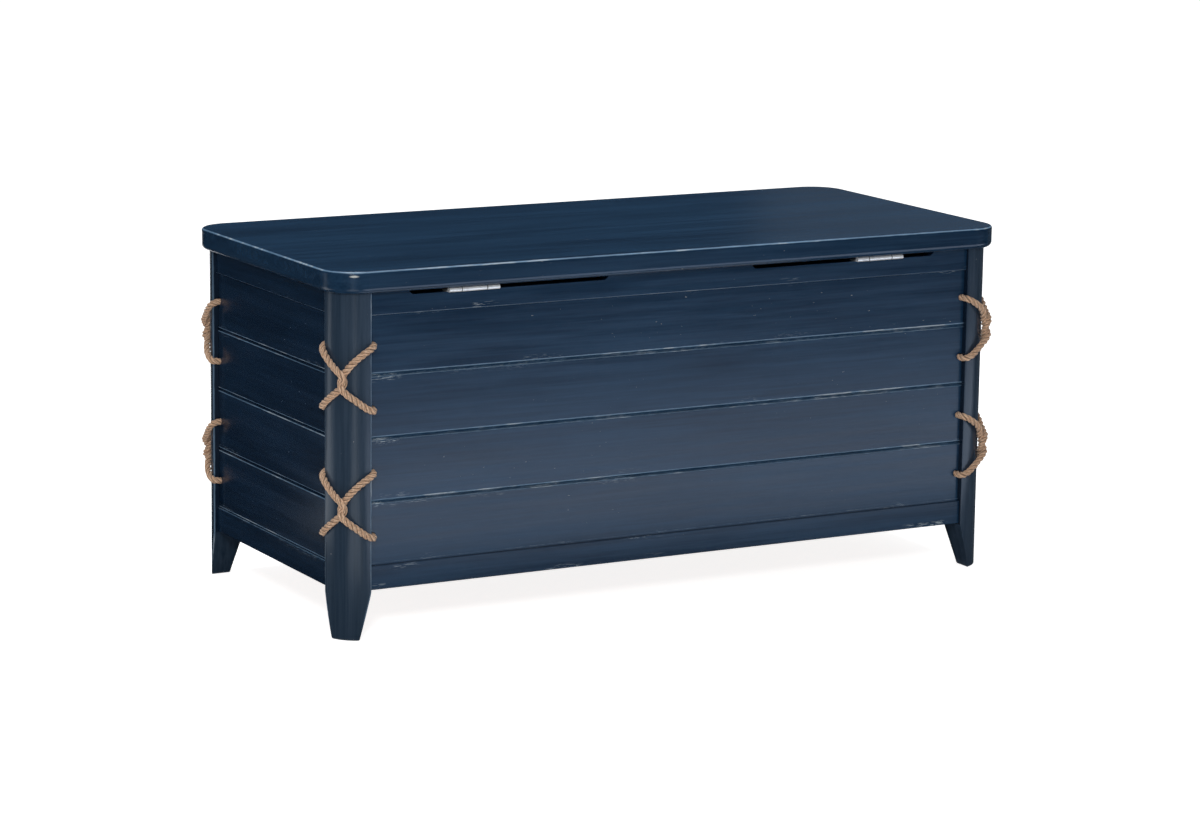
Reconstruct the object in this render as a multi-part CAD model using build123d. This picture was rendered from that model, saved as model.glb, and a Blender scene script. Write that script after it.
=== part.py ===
from build123d import *
import math
import os

# Cedar-lined blanket chest on quarter-round corner posts, with a hinged lid and rope lacings.
# Millimetres. X runs along the length, +Y points to the hinge side, Z rises from the floor.
# The origin is on the floor under the middle of the chest. Left is -X, back is +Y.

# Lid
lid_length = 1118
lid_depth = 516
lid_thickness = 32
lid_panel_thickness = 20
lid_edge_width = 55
lid_corner_radius = 52
lid_top_round = 4
lid_bottom_round = 8
lid_lining_thickness = 6
lid_overhang = 9.5
lid_gap = 0.6

# Corner posts and feet
chest_height = 530
post_width = 50
post_round = 48
post_arris_round = 1.5
foot_height = 71
foot_taper = 18
foot_edge_round = 2.5

# Rails
rail_setback = 5.5
rail_thickness = 22
rail_arris_round = 1.5
top_rail_height = 32.4
bottom_rail_height = 35.7
tenon_thickness = 8
tenon_length = 18
tenon_shoulder = 5.5

# Boards
board_count = 4
board_setback = 8.5
board_thickness = 12
board_lap = 6
groove_width = 5.5
tongue_thickness = 4
tongue_height = 5
joint_fit = 0.15

# Slots in the back top rail
slot_length = 322
slot_inset = 108.5
slot_depth = 6.4
slot_end_slope = 7
slot_corner_round = 3

# Hinges
hinge_inset = 209.5
hinge_length = 80
hinge_outer_knuckle = 20
hinge_knuckle_gap = 0.8
hinge_barrel_radius = 3.4
hinge_leaf_thickness = 1.4
hinge_leaf_reach = 20
hinge_leaf_corner = 4
hinge_pin_radius = 1.8
hinge_pin_fit = 0.05
hinge_pin_drop = 3.8
hinge_pin_inset = 1
screw_pitch = 28
screw_head_radius = 3.2
screw_shank_radius = 1.6
screw_length = 12
screw_tip = 2.5
screw_fit = 0.05

# Inside
lining_thickness = 9
lining_below_slot = 5
floor_thickness = 12
cleat_width = 18
cleat_height = 18
batten_width = 40
inside_fit = 0.4

# Rope lacings
rope_radius = 4.6
rope_hole_fit = 0.3
rope_bend_share = 0.45
lacing_drop = 2.5
lacing_joints = (1, 3)

# Heights and places that follow from the sizes above
case_length = lid_length - 2 * lid_overhang
case_depth = lid_depth - 2 * lid_overhang
lid_underside = chest_height - lid_thickness
case_top = lid_underside - lid_gap
top_rail_bottom = case_top - top_rail_height
bottom_rail_top = foot_height + bottom_rail_height
boards_bottom = bottom_rail_top - board_lap
boards_top = top_rail_bottom + board_lap
board_pitch = (boards_top - bottom_rail_top) / board_count
lacing_rise = board_pitch / 2
post_inner = post_round - post_width
rope_hole_radius = rope_radius + rope_hole_fit
rope_hole_inset = rope_hole_radius + rope_hole_fit
slot_centre = (case_length - slot_length) / 2 - slot_inset
slot_floor = case_top - slot_depth
hinge_centre = case_length / 2 - hinge_inset
floor_bottom = foot_height + cleat_height
floor_top = floor_bottom + floor_thickness
lining_top = slot_floor - lining_below_slot
pin_y = case_depth / 2 - hinge_pin_inset
pin_z = lid_underside - hinge_pin_drop
rail_inner = rail_setback + rail_thickness

# Each side is drawn along X with its outer face towards +Y, then turned about Z.
side_turn = {"back": 0, "left": 90, "front": 180, "right": 270}
side_plane = {
    "back": case_depth / 2,
    "left": case_length / 2,
    "front": case_depth / 2,
    "right": case_length / 2,
}
side_span = {
    "back": case_length - 2 * post_width,
    "left": case_depth - 2 * post_width,
    "front": case_length - 2 * post_width,
    "right": case_depth - 2 * post_width,
}


def block(low, high):
    """A plain block between its lowest and highest corners."""
    size = [high[i] - low[i] for i in range(3)]
    centre = [(high[i] + low[i]) / 2 for i in range(3)]
    return Pos(*centre) * Box(*size)


def strip(low, high):
    """A rectangle of a member's YZ profile, between two corners (y, z)."""
    width = high[0] - low[0]
    height = high[1] - low[1]
    return Pos((low[0] + high[0]) / 2, (low[1] + high[1]) / 2) * Rectangle(width, height)


def member(profile, length):
    """A straight member: its YZ profile carried along X, half to each side of the middle."""
    return extrude(Plane.YZ * profile, amount=length / 2, both=True)


def to_side(shape, side):
    """Turns a piece drawn as part of the back to its own side of the chest."""
    return Rot(0, 0, side_turn[side]) * shape


def at_each_corner(pieces):
    """The pieces of the back right corner, mirrored to the four corners."""
    back_left = [piece.mirror(Plane.YZ) for piece in pieces]
    return {
        "back_right": pieces,
        "back_left": back_left,
        "front_right": [piece.mirror(Plane.XZ) for piece in pieces],
        "front_left": [piece.mirror(Plane.XZ) for piece in back_left],
    }


# Boards


def joint_height(joint):
    """Height of a board joint, counted up from the top edge of the bottom rail."""
    return bottom_rail_top + joint * board_pitch


def board_y(side):
    """Inner and outer face of a side's boards."""
    outer = side_plane[side] - board_setback
    return outer - board_thickness, outer


def lacing_heights():
    """Middle height of the upper and lower lacing, just under the board joints they straddle."""
    lower, upper = (joint_height(joint) - lacing_drop for joint in lacing_joints)
    return {"upper": upper, "lower": lower}


def rope_hole_cutters(side):
    """Bores through the boards, close beside both posts, where the rope ends go in."""
    y_in, y_out = board_y(side)
    x = side_span[side] / 2 - rope_hole_inset
    cutters = []
    for middle in lacing_heights().values():
        for z in (middle - lacing_rise, middle + lacing_rise):
            bore = Rot(90, 0, 0) * Cylinder(rope_hole_radius, 2 * board_thickness)
            cutters += [Pos(end * x, (y_in + y_out) / 2, z) * bore for end in (-1, 1)]
    return cutters


def board_profile(side, index):
    """Section of one board: V-grooved face, tongue on top and groove below where it meets others."""
    y_in, y_out = board_y(side)
    first = index == 0
    last = index == board_count - 1
    z_low = boards_bottom if first else joint_height(index)
    z_high = boards_top if last else joint_height(index + 1)
    half = groove_width / 2
    low_edge = [(y_out, z_low)] if first else [(y_out - half, z_low), (y_out, z_low + half)]
    high_edge = [(y_out, z_high)] if last else [(y_out, z_high - half), (y_out - half, z_high)]
    corners = [(y_in, z_low), *low_edge, *high_edge, (y_in, z_high)]
    profile = make_face(Polyline(*corners, close=True))
    middle = (y_in + y_out - half) / 2
    if not last:
        tongue = strip(
            (middle - tongue_thickness / 2, z_high),
            (middle + tongue_thickness / 2, z_high + tongue_height),
        )
        profile += tongue
    if not first:
        grown = tongue_thickness / 2 + joint_fit
        profile -= strip(
            (middle - grown, z_low),
            (middle + grown, z_low + tongue_height + joint_fit),
        )
    return profile


def make_board(side, index):
    """One board of a side, its ends housed in the posts."""
    length = side_span[side] + 2 * (tenon_thickness - 2 * joint_fit)
    board = member(board_profile(side, index), length)
    return board - rope_hole_cutters(side)


def board_housing(side):
    """The space that a side's boards take up in the posts and rails, with the joint's fit."""
    y_in, y_out = board_y(side)
    profile = strip(
        (y_in - joint_fit, boards_bottom - joint_fit),
        (y_out + joint_fit, boards_top + joint_fit),
    )
    return member(profile, side_span[side] + 2 * tenon_thickness)


# Rails


def rail_y(side):
    """Inner and outer face of a side's rails."""
    outer = side_plane[side] - rail_setback
    return outer - rail_thickness, outer


def tenons(side, z_low, z_high, fit):
    """Both tenons of a rail as one bar from post to post, grown by a fit for the mortises."""
    y_in, y_out = rail_y(side)
    middle = (y_in + y_out) / 2
    half = tenon_thickness / 2 + fit
    profile = strip((middle - half, z_low - fit), (middle + half, z_high + fit))
    return member(profile, side_span[side] + 2 * (tenon_length + fit))


def top_tenons(side, fit=0.0):
    """Tenons of a top rail: over the board's top edge and under the rail's own."""
    z_low = boards_top + tongue_height
    return tenons(side, z_low, case_top - tenon_shoulder, fit)


def bottom_tenons(side, fit=0.0):
    """Tenons of a bottom rail: under the board's bottom edge."""
    return tenons(side, foot_height + tenon_shoulder, boards_bottom - 1, fit)


def rail_blank(side, z_low, z_high, rounded):
    """A rail's length between the posts, with the named outer arrises softly rounded."""
    y_in, y_out = rail_y(side)
    profile = strip((y_in, z_low), (y_out, z_high))
    outer = profile.vertices().sort_by(Axis.X)[-2:].sort_by(Axis.Y)
    chosen = [outer[i] for i in rounded]
    profile = fillet(chosen, rail_arris_round)
    return member(profile, side_span[side]) - board_housing(side)


def make_bottom_rail(side):
    """Bottom rail, a little proud of the boards that stand in it."""
    blank = rail_blank(side, foot_height, bottom_rail_top, (0, 1))
    return blank + bottom_tenons(side)


def slot_cutter(end):
    """A long shallow slot in the top edge of the back rail, with sloping ends."""
    half_top = slot_length / 2
    half_low = half_top - slot_end_slope
    corners = [(-half_top, slot_depth), (-half_low, 0), (half_low, 0), (half_top, slot_depth)]
    outline = make_face(Polyline(*corners, close=True))
    low = outline.vertices().sort_by(Axis.Y)[:2]
    outline = fillet(low, slot_corner_round)
    y_in, y_out = rail_y("back")
    cutter = extrude(Plane.XZ * outline, amount=rail_thickness, both=True)
    return Pos(end * slot_centre, (y_in + y_out) / 2, slot_floor) * cutter


def make_top_rail(side):
    """Top rail over the boards. The back one carries the slots and the hinge leaves."""
    rail = rail_blank(side, top_rail_bottom, case_top, (0,)) + top_tenons(side)
    if side == "back":
        rail -= [slot_cutter(end) for end in (-1, 1)]
        rail -= [at_hinge(screw, end) for screw in chest_screws(screw_fit) for end in (-1, 1)]
    return rail


# Posts, drawn about the axis of their outer round


def post_place():
    """From the round's own axis to the back right corner of the chest."""
    return Pos(case_length / 2 - post_round, case_depth / 2 - post_round, 0)


def foot_cutters():
    """Two wedges that taper the foot on its inner sides, below the rails."""
    reach = post_inner + foot_taper
    corners = [(post_inner, foot_height), (post_inner, 0), (reach, 0)]
    outline = make_face(Polyline(*corners, close=True))
    wedge = extrude(Plane.XZ * outline, amount=post_width, both=True)
    return [wedge, wedge.mirror(Plane(origin=(0, 0, 0), z_dir=(1, -1, 0)))]


def make_post():
    """Back right post: a quarter round with grooves and mortises, running down into its foot."""
    square = Pos(post_inner, post_inner) * Rectangle(
        post_width, post_width, align=(Align.MIN, Align.MIN)
    )
    by_distance = square.vertices().sort_by(lambda corner: corner.X + corner.Y)
    section = fillet(by_distance[-1], post_round)
    arrises = [
        corner
        for corner in section.vertices()
        if abs(abs(corner.X - corner.Y) - post_width) < rail_arris_round
    ]
    section = fillet(arrises, post_arris_round)
    post = extrude(section, amount=case_top) - foot_cutters()
    sole = post.faces().sort_by(Axis.Z)[0]
    post = post_place() * fillet(sole.edges(), foot_edge_round)
    for side in ("back", "right"):
        housings = [
            board_housing(side),
            top_tenons(side, joint_fit),
            bottom_tenons(side, joint_fit),
        ]
        post -= [to_side(housing, side) for housing in housings]
    return post


# Inside


def make_lining(side):
    """Thin cedar wall inside a side, standing on the floor panel against the rails."""
    y_in, _ = rail_y(side)
    profile = strip((y_in - lining_thickness, floor_top), (y_in, lining_top))
    return member(profile, side_span[side] - 2 * inside_fit)


def make_cleat(side):
    """Square cleat along the inner face of a bottom rail, under the floor panel."""
    y_in, _ = rail_y(side)
    profile = strip((y_in - cleat_width, foot_height), (y_in, floor_bottom))
    return member(profile, side_span[side] - 2 * inside_fit)


def make_batten():
    """Batten across the middle of the floor, from cleat to cleat."""
    reach = side_plane["back"] - rail_inner - cleat_width - inside_fit
    return block(
        (-batten_width / 2, -reach, foot_height), (batten_width / 2, reach, floor_bottom)
    )


def make_floor():
    """Floor panel between the rails, notched round the four posts."""
    x = side_plane["right"] - rail_inner - inside_fit
    y = side_plane["back"] - rail_inner - inside_fit
    notch_x = side_span["back"] / 2 - inside_fit
    notch_y = side_span["right"] / 2 - inside_fit
    wide = block((-x, -notch_y, floor_bottom), (x, notch_y, floor_top))
    deep = block((-notch_x, -y, floor_bottom), (notch_x, y, floor_top))
    return wide + deep


# Lid


def lid_slab(z_low, z_high):
    """The lid's outline with its rounded corners, between two heights."""
    outline = RectangleRounded(lid_length, lid_depth, lid_corner_radius)
    return extrude(Pos(0, 0, z_low) * outline, amount=z_high - z_low)


def make_lid_panel():
    """Top panel of the lid, its upper arris softly rounded."""
    panel = lid_slab(lid_underside + lid_thickness - lid_panel_thickness, chest_height)
    return fillet(panel.faces().sort_by(Axis.Z)[-1].edges(), lid_top_round)


def lid_inner():
    """Half sizes of the recess that the edge strips leave under the lid panel."""
    return lid_length / 2 - lid_edge_width, lid_depth / 2 - lid_edge_width


def make_lid_edges():
    """Four strips glued round the underside of the panel, so that the lid looks thick."""
    panel_bottom = chest_height - lid_panel_thickness
    ring = lid_slab(lid_underside, panel_bottom)
    ring = fillet(ring.faces().sort_by(Axis.Z)[0].edges(), lid_bottom_round)
    x, y = lid_inner()
    far_x = lid_length
    far_y = lid_depth
    low = lid_underside - lid_thickness
    zones = {
        "back": block((-far_x, y, low), (far_x, far_y, panel_bottom)),
        "front": block((-far_x, -far_y, low), (far_x, -y, panel_bottom)),
        "left": block((-far_x, -y, low), (-x, y, panel_bottom)),
        "right": block((x, -y, low), (far_x, y, panel_bottom)),
    }
    strips = {side: ring & zone for side, zone in zones.items()}
    holes = [at_hinge(screw, end) for screw in lid_screws(screw_fit) for end in (-1, 1)]
    strips["back"] -= holes
    return strips


def make_lid_lining():
    """Thin cedar panel in the recess under the lid."""
    x, y = lid_inner()
    x -= inside_fit
    y -= inside_fit
    top = chest_height - lid_panel_thickness
    return block((-x, -y, top - lid_lining_thickness), (x, y, top))


# Hinges, drawn with their middle at X = 0


def at_hinge(shape, end):
    """Moves a hinge piece along the rail to the left or right hinge."""
    return Pos(end * hinge_centre, 0, 0) * shape


def knuckle(x_low, x_high):
    """One rolled knuckle of the barrel, with its bore."""
    middle = (x_low + x_high) / 2
    length = x_high - x_low
    tube = Cylinder(hinge_barrel_radius, length) - Cylinder(hinge_pin_radius + hinge_pin_fit, length)
    return Pos(middle, pin_y, pin_z) * Rot(0, 90, 0) * tube


def leaf_plate(z_low):
    """Flat of a leaf, its two inner corners rounded, short of the barrel."""
    y_out = side_plane["back"] - rail_setback
    half = hinge_length / 2
    y_in = y_out - hinge_leaf_reach
    plate = block((-half, y_in, z_low), (half, y_out, z_low + hinge_leaf_thickness))
    upright = plate.edges().filter_by(Axis.Z).sort_by(Axis.Y)[:2]
    return fillet(upright, hinge_leaf_corner)


def leaf_tab(x_low, x_high, z_low):
    """Part of a leaf that runs from its flat into a knuckle."""
    y_out = side_plane["back"] - rail_setback
    tab = block((x_low, y_out - 1, z_low), (x_high, pin_y, z_low + hinge_leaf_thickness))
    length = x_high - x_low
    bore = Cylinder(hinge_pin_radius + hinge_pin_fit, length)
    return tab - Pos((x_low + x_high) / 2, pin_y, pin_z) * Rot(0, 90, 0) * bore


def knuckle_spans():
    """X spans of the two outer knuckles and of the middle one."""
    half = hinge_length / 2
    inner = half - hinge_outer_knuckle
    gap = hinge_knuckle_gap / 2
    outer = [(-half, -inner - gap), (inner + gap, half)]
    return outer, (-inner + gap, inner - gap)


def make_chest_leaf():
    """Lower leaf: flat on the slot's floor, with the two outer knuckles."""
    z_low = slot_floor
    leaf = leaf_plate(z_low)
    for x_low, x_high in knuckle_spans()[0]:
        leaf += leaf_tab(x_low, x_high, z_low)
        leaf += knuckle(x_low, x_high)
    return leaf - chest_screws(screw_fit)


def make_lid_leaf():
    """Upper leaf: flat under the lid, with the middle knuckle."""
    z_low = lid_underside - hinge_leaf_thickness
    x_low, x_high = knuckle_spans()[1]
    leaf = leaf_plate(z_low) + leaf_tab(x_low, x_high, z_low)
    leaf += knuckle(x_low, x_high)
    return leaf - lid_screws(screw_fit)


def make_pin():
    """Hinge pin through the three knuckles."""
    return Pos(0, pin_y, pin_z) * Rot(0, 90, 0) * Cylinder(hinge_pin_radius, hinge_length - 1)


def screw(fit):
    """Countersunk wood screw pointing down, the top of its head at Z = 0."""
    head = screw_head_radius + fit
    shank = screw_shank_radius + fit
    end = -screw_length - fit
    cone = -hinge_leaf_thickness
    corners = [(0, 0), (head, 0), (shank, cone), (shank, end + screw_tip), (0, end)]
    outline = make_face(Polyline(*corners, close=True))
    return revolve(Plane.XZ * outline, Axis.Z)


def screw_places(y):
    """Centres of a leaf's three screws."""
    return [(x, y) for x in (-screw_pitch, 0, screw_pitch)]


def screw_line():
    """Y of the screws, in the middle of the leaf's flat."""
    return side_plane["back"] - rail_setback - hinge_leaf_reach / 2


def chest_screws(fit=0.0):
    """Screws of a lower leaf, driven down into the rail."""
    head_z = slot_floor + hinge_leaf_thickness
    return [Pos(x, y, head_z) * screw(fit) for x, y in screw_places(screw_line())]


def lid_screws(fit=0.0):
    """Screws of an upper leaf, driven up into the lid."""
    head_z = lid_underside - hinge_leaf_thickness
    return [Pos(x, y, head_z) * Rot(180, 0, 0) * screw(fit) for x, y in screw_places(screw_line())]


# Rope lacings. A post's lacing is two ropes hooked round one another on its round face.


def around_post(angle, stand_off, rise):
    """A point of the route: its angle round the post, its distance off the post's round face in
    rope radii, and its height as a share of the lacing's rise."""
    radius = post_round + stand_off * rope_radius
    x = radius * math.cos(math.radians(angle))
    y = radius * math.sin(math.radians(angle))
    return Vector(x, y, rise * lacing_rise)


def lacing_route():
    """Route of the end side's rope, from its upper hole over and under the other to its lower."""
    x_in = post_round - board_setback - board_thickness + rope_hole_fit
    hole_y = post_inner - rope_hole_inset
    return [
        Vector(x_in, hole_y, lacing_rise),
        Vector(post_round + 1.6 * rope_radius, hole_y, lacing_rise),
        around_post(10.8, 1.39, 0.728),
        around_post(46.3, 3.84, 0.251),
        around_post(52.8, 1.29, -0.115),
        around_post(17.9, 2.23, -0.727),
        Vector(post_round + 2.2 * rope_radius, hole_y, -lacing_rise),
        Vector(x_in, hole_y, -lacing_rise),
    ]


def bend_radii(points):
    """For each corner, the largest arc that its two runs leave room for."""
    radii = []
    for before, corner, after in zip(points, points[1:], points[2:]):
        turn = math.radians((corner - before).get_angle(after - corner))
        shorter = min((corner - before).length, (after - corner).length)
        radii.append(rope_bend_share * shorter / math.tan(turn / 2))
    return radii


def make_rope():
    """One rope of a lacing as a round tube along its route."""
    points = lacing_route()
    radii = bend_radii(points)
    path = FilletPolyline(*points, radius=radii)
    section = Plane(origin=path @ 0, z_dir=path % 0) * Circle(rope_radius)
    rope = sweep(section, path)
    exact = path.length * math.pi * rope_radius**2
    print("rope length", round(path.length, 1), "radii", [round(radius, 1) for radius in radii])
    print("rope volume over section times length", round(rope.volume / exact, 4))
    return rope


def make_lacing(rope, middle):
    """Both ropes of a lacing: the second is the first, turned over about the corner's middle."""
    other = rope.rotate(Axis((0, 0, 0), (1, 1, 0)), 180)
    place = post_place() * Pos(0, 0, middle)
    return [place * rope, place * other]


def write(node, *pieces):
    """Saves one node under its own name, as a group where it has several pieces."""
    shape = pieces[0] if len(pieces) == 1 else Compound(children=list(pieces))
    export_step(shape, f"parts/{node}.step")


os.makedirs("parts", exist_ok=True)

for corner, post in at_each_corner([make_post()]).items():
    write(f"post_{corner}", *post)

for side in side_turn:
    write(f"top_rail_{side}", to_side(make_top_rail(side), side))
    write(f"bottom_rail_{side}", to_side(make_bottom_rail(side), side))
    write(f"lining_{side}", to_side(make_lining(side), side))
    write(f"floor_cleat_{side}", to_side(make_cleat(side), side))
    for index in range(board_count):
        write(f"board_{side}_{index + 1}", to_side(make_board(side, index), side))

write("floor_panel", make_floor())
write("floor_batten", make_batten())

write("lid_panel", make_lid_panel())
write("lid_lining", make_lid_lining())
for side, edge in make_lid_edges().items():
    write(f"lid_edge_{side}", edge)

for name, end in (("left", -1), ("right", 1)):
    write(f"hinge_{name}_chest_leaf", at_hinge(make_chest_leaf(), end))
    write(f"hinge_{name}_lid_leaf", at_hinge(make_lid_leaf(), end))

both_ends = (-1, 1)
write("hinge_pins", *[at_hinge(make_pin(), end) for end in both_ends])
write("hinge_screws_chest", *[at_hinge(one, end) for end in both_ends for one in chest_screws()])
write("hinge_screws_lid", *[at_hinge(one, end) for end in both_ends for one in lid_screws()])

one_rope = make_rope()
for level, middle in lacing_heights().items():
    for corner, lacing in at_each_corner(make_lacing(one_rope, middle)).items():
        write(f"lacing_{corner}_{level}", *lacing)
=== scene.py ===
import bpy
import numpy as np
from mathutils import Matrix, Vector


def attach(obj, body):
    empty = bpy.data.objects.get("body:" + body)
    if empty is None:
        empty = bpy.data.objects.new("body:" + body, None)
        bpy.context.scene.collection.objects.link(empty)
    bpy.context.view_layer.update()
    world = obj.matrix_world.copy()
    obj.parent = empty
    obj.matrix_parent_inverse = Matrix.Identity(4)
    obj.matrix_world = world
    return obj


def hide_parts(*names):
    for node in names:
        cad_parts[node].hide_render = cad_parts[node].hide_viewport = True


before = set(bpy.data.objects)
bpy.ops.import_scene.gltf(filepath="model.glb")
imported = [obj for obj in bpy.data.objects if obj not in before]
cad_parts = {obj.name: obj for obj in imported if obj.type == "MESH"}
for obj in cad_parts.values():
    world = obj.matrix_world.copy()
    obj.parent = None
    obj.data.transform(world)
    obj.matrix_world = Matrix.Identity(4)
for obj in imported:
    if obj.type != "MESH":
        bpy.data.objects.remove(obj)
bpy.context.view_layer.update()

# The view. The chest stands with its hinged back and one end towards a camera a little over
# five metres off, slightly above the lid.
camera = bpy.data.objects.new("view_from_the_hinge_side", bpy.data.cameras.new("view"))
bpy.context.scene.collection.objects.link(camera)
bpy.context.scene.camera = camera
camera.data.lens = 114.136
camera.data.sensor_width = 36.0
camera.data.clip_end = 100.0
ahead = Vector((-0.473741, -0.859279, -0.192895)).normalized()
side = ahead.cross(Vector((-0.081974, -0.175057, 0.98114))).normalized()
camera.matrix_world = Matrix.Translation((2.74244, 4.97791, 1.35636)) @ Matrix(
    (side, side.cross(ahead), -ahead)
).transposed().to_4x4()
bpy.context.scene.view_settings.view_transform = "Standard"


# The studio. A pale sweep of floor under two soft boxes, a small one beside the camera and a
# large one overhead. The dark walls of the room and the cards laid on the floor glow and show
# only in reflections on the paint, where the pale cards paint its highlights and the dark ones
# its reflected shade; the dark card beneath the chest paints the chest's shadow there.
def shader(tree, kind, values=(), out=0, **settings):
    """One shader node. values maps its sockets to numbers or to other nodes' outputs."""
    made = tree.nodes.new(kind)
    for name, value in settings.items():
        setattr(made, name, value)
    for name, value in dict(values).items():
        if isinstance(value, bpy.types.NodeSocket):
            tree.links.new(value, made.inputs[name])
        else:
            made.inputs[name].default_value = value
    return made.outputs[out]


def calc(tree, operation, *terms):
    """A Math node on numbers or outputs, in their order. A third term and any after it are
    taken up by further nodes of the same kind."""
    result = shader(tree, "ShaderNodeMath", dict(enumerate(terms[:2])), operation=operation)
    for term in terms[2:]:
        result = shader(tree, "ShaderNodeMath", {0: result, 1: term}, operation=operation)
    return result


def new_material(name):
    """A material with nothing in it but its output node."""
    made = bpy.data.materials.new(name)
    made.use_nodes = True
    made.node_tree.nodes.clear()
    made.node_tree.nodes.new("ShaderNodeOutputMaterial")
    return made


def show(tree, closure):
    """Joins a shader to the material's output."""
    tree.links.new(closure, tree.nodes["Material Output"].inputs["Surface"])


def seen_directly(tree):
    """1 where the camera, a mirror or a glass looks straight at it, and 0 where light does."""
    rays = tree.nodes.new("ShaderNodeLightPath").outputs
    kinds = ("Is Camera Ray", "Is Glossy Ray", "Is Transmission Ray")
    return calc(tree, "MAXIMUM", *[rays[kind] for kind in kinds])


world = bpy.data.worlds.new("studio_air")
bpy.context.scene.world = world
world.use_nodes = True
air = world.node_tree
air.nodes.clear()
air_light = shader(
    air, "ShaderNodeMapRange", {"Value": seen_directly(air), "To Min": 0.27, "To Max": 1.0}
)
air.links.new(
    shader(air, "ShaderNodeBackground", {"Color": (1, 1, 1, 1), "Strength": air_light}),
    air.nodes.new("ShaderNodeOutputWorld").inputs[0],
)


def flat_panel(name, centre, across, up):
    """A rectangle about its centre, with two half edges given as vectors."""
    c, a, u = (np.array(v, float) for v in (centre, across, up))
    mesh = bpy.data.meshes.new(name)
    mesh.from_pydata([c - a - u, c + a - u, c + a + u, c - a + u], [], [(0, 1, 2, 3)])
    made = bpy.data.objects.new(name, mesh)
    bpy.context.scene.collection.objects.link(made)
    return made


floor = flat_panel("studio_floor", (0, 0, 0), (40, 0, 0), (0, 40, 0))
floor_finish = new_material("pale_floor")
tree = floor_finish.node_tree
glow = shader(
    tree,
    "ShaderNodeEmission",
    {"Color": (1, 1, 1, 1), "Strength": calc(tree, "MULTIPLY", seen_directly(tree), 0.86)},
)
matt = shader(tree, "ShaderNodeBsdfDiffuse", {"Color": (0.8, 0.8, 0.8, 1)})
show(tree, shader(tree, "ShaderNodeAddShader", {0: matt, 1: glow}))
floor.data.materials.append(floor_finish)


def card_finish(name, colour, strength):
    """A material that only gives off light."""
    made = new_material(name)
    tree = made.node_tree
    show(tree, shader(tree, "ShaderNodeEmission", {"Color": colour, "Strength": strength}))
    return made


dark_wall = card_finish("dark_studio_wall", (0.42, 0.6, 0.85, 1), 0.045)
dim_wall = card_finish("dim_studio_wall", (0.6, 0.75, 0.95, 1), 0.13)
pale_card = card_finish("pale_card", (0.70, 0.81, 1.0, 1), 2.5)
soft_card = card_finish("soft_card", (0.85, 0.92, 1.0, 1), 1.5)
for name, finish_of, centre, across, up in (
    ("wall_behind", dark_wall, (-2.0, -7.0, 6.0), (12, 0, 0), (0, 0, 6)),
    ("wall_behind_right", dim_wall, (-6.6, -6.8, 1.6), (2.2, 0, 0), (0, 0, 1.6)),
    ("wall_in_front", dark_wall, (-1.0, 9.4, 6.0), (14, 0, 0), (0, 0, 6)),
    ("wall_left", dark_wall, (7.5, -1.0, 6.0), (0, 6, 0), (0, 0, 6)),
    ("wall_right", dark_wall, (-9.5, 0.0, 6.0), (0, 7, 0), (0, 0, 6)),
    ("card_beside", dark_wall, (4.05, -3.1, 0.002), (3.57, 0, 0), (0, 3.9, 0)),
    ("card_in_front", dark_wall, (-1.0, 4.6, 0.002), (8.0, 0, 0), (0, 4.2, 0)),
    ("pale_card_back", pale_card, (-0.9, 1.13, 0.004), (1.3, 0, 0), (0, 0.50, 0)),
    ("soft_card_corner", soft_card, (1.28, 1.60, 0.006), (0.58, 1.05, 0), (0.19, -0.10, 0)),
    ("soft_card_left", soft_card, (1.95, -0.86, 0.006), (0.95, -0.69, 0), (0.19, 0.26, 0)),
    ("dim_card_far_side", dim_wall, (-4.80, -3.25, 0.002), (4.30, 0, 0), (0, 3.65, 0)),
    # A dark card under the chest, painted shadow: it stands for the chest's shadow on the floor in
    # reflections on the feet's inner sides.
    ("card_beneath", dark_wall, (0, 0, 0.003), (0.51, 0, 0), (0, 0.25, 0)),
):
    panel = flat_panel(name, centre, across, up)
    panel.data.materials.append(finish_of)
    panel.visible_camera = False
    panel.visible_diffuse = False
    panel.visible_transmission = False
    panel.visible_shadow = False


def soft_box(name, place, aim, size, power):
    """A lamp with a rectangular face at a place, turned to face a point."""
    lamp = bpy.data.lights.new(name, "AREA")
    lamp.shape = "RECTANGLE"
    lamp.size, lamp.size_y = size
    lamp.energy = power
    made = bpy.data.objects.new(name, lamp)
    made.location = place
    made.rotation_euler = (Vector(aim) - Vector(place)).to_track_quat("-Z", "Y").to_euler()
    bpy.context.scene.collection.objects.link(made)


soft_box("box_beside_camera", (2.45, 3.75, 2.3), (0, 0.2, 0.25), (0.6, 0.6), 66)
soft_box("box_overhead", (0.2, -0.4, 4.2), (0, 0, 0.5), (2.4, 1.6), 112)


# Every painted piece has the same finish: a deep navy brushed on along the grain over a pale
# ground, sanded through at the edges, flecked in places and then rubbed with a dull wax.
def group_with(name, inputs, outputs):
    """A shader node group, with its inputs' node and its outputs' node."""
    tree = bpy.data.node_groups.new(name, "ShaderNodeTree")
    for way, sockets in (("INPUT", inputs), ("OUTPUT", outputs)):
        for label, kind in sockets.items():
            tree.interface.new_socket(label, in_out=way, socket_type="NodeSocket" + kind)
    return tree, tree.nodes.new("NodeGroupInput").outputs, tree.nodes.new("NodeGroupOutput").inputs


def grain_noise(tree, place, stretch, detail=3.0, rough=0.55):
    """Noise drawn out along the first axis; stretch is its count per metre along and across."""
    along, across = stretch
    scaled = shader(
        tree, "ShaderNodeVectorMath", {0: place, 1: (along, across, across)}, operation="MULTIPLY"
    )
    return shader(
        tree,
        "ShaderNodeTexNoise",
        {"Vector": scaled, "Scale": 1.0, "Detail": detail, "Roughness": rough},
    )


def ramp(tree, value, low, high, start=0.0, end=1.0):
    """start below low, end above high, and a smooth step between."""
    return shader(
        tree,
        "ShaderNodeMapRange",
        {"Value": value, "From Min": low, "From Max": high, "To Min": start, "To Max": end},
        interpolation_type="SMOOTHSTEP",
    )


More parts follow.
